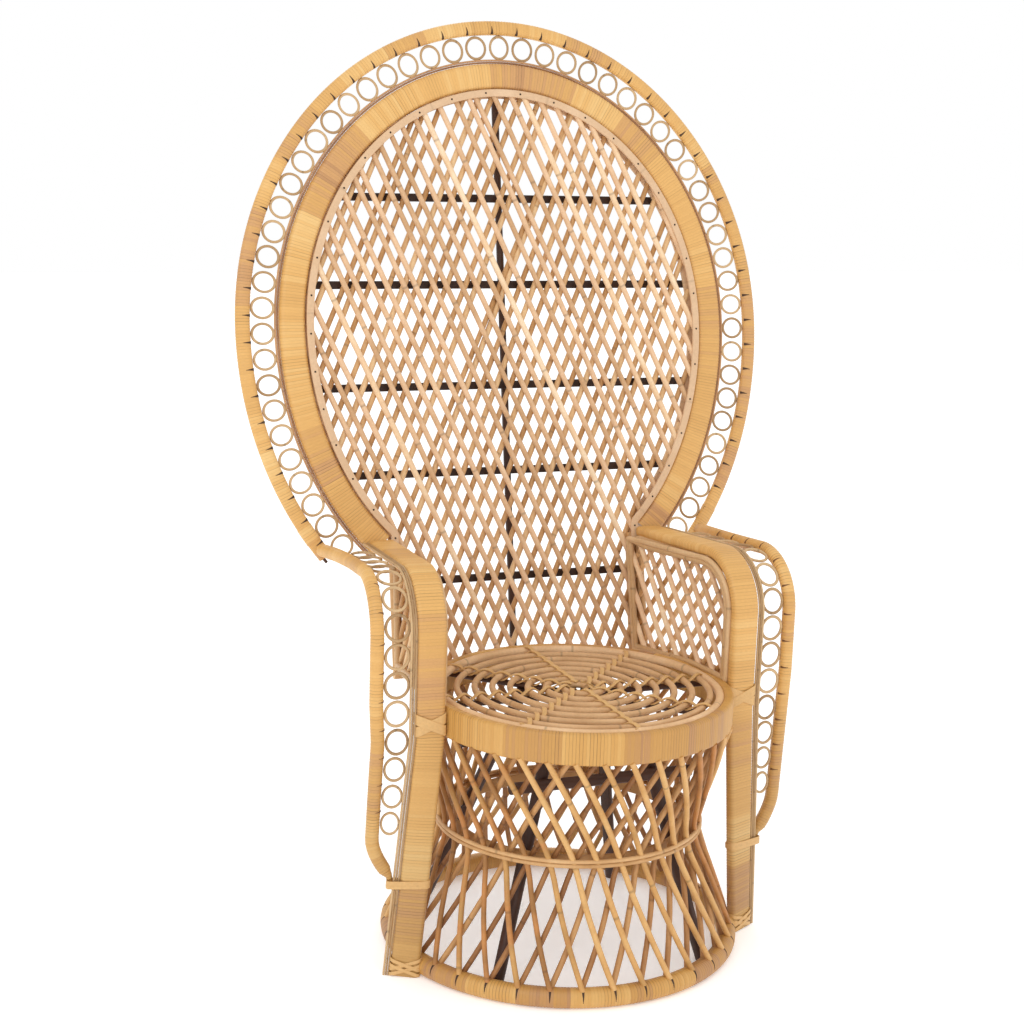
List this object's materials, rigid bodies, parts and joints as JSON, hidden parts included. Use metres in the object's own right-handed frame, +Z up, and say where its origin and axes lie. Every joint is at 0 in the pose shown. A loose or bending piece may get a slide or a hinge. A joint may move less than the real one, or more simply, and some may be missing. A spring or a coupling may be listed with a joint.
{
  "type": "peacock chair",
  "caption": "Rattan peacock chair: tall oval lattice back with ring fringe, cane-wrapped arms running to the floor, and a wound round seat on a woven hourglass pedestal.",
  "frame": {"origin": "on the floor, under the middle of the chair's box", "axes": "+Z up; the sitter faces -Y; +X is to the right of someone who looks at the chair from in front"},
  "size_m": [0.9298, 0.7, 1.4497],
  "materials": {
    "wrapped_cane": "split cane wound over a pole, satin",
    "rattan_rod": "peeled rattan rod, satin",
    "pale_rod": "pale peeled rattan, satin",
    "seat_cane": "weathered peeled rattan, matt",
    "dark_pole": "dark stained rattan pole, matt"
  },
  "bodies": {
    "root": {"base_hoop": "wrapped_cane", "seat_band": "wrapped_cane", "back_outer_hoop": "wrapped_cane", "back_band": "wrapped_cane", "pedestal_outer_weave": "rattan_rod", "pedestal_inner_weave": "rattan_rod", "seat_spokes": "rattan_rod", "back_ring_fringe": "rattan_rod", "back_upright_left": "rattan_rod", "back_upright_right": "rattan_rod", "back_foot_rail": "rattan_rod", "back_lattice_rear": "rattan_rod", "back_lattice_front": "pale_rod", "seat_spiral": "seat_cane", "leg_front_left": "dark_pole", "leg_front_right": "dark_pole", "leg_rear_left": "dark_pole", "leg_rear_right": "dark_pole", "leg_stretcher_front": "dark_pole", "leg_stretcher_rear": "dark_pole", "back_spine": "dark_pole", "back_slat_1": "dark_pole", "back_slat_2": "dark_pole", "back_slat_3": "dark_pole", "back_slat_4": "dark_pole", "back_slat_5": "dark_pole", "arm_band_left": "wrapped_cane", "arm_wing_pole_left": "wrapped_cane", "arm_hoop_collar_left": "wrapped_cane", "arm_wing_tie_left": "wrapped_cane", "arm_seat_lashing_left": "wrapped_cane", "arm_foot_lashing_left": "wrapped_cane", "arm_ring_fringe_left": "rattan_rod", "arm_lattice_outer_left": "rattan_rod", "arm_lattice_inner_left": "rattan_rod", "arm_band_right": "wrapped_cane", "arm_wing_pole_right": "wrapped_cane", "arm_hoop_collar_right": "wrapped_cane", "arm_wing_tie_right": "wrapped_cane", "arm_seat_lashing_right": "wrapped_cane", "arm_foot_lashing_right": "wrapped_cane", "arm_ring_fringe_right": "rattan_rod", "arm_lattice_outer_right": "rattan_rod", "arm_lattice_inner_right": "rattan_rod"}
  },
  "joints": []
}
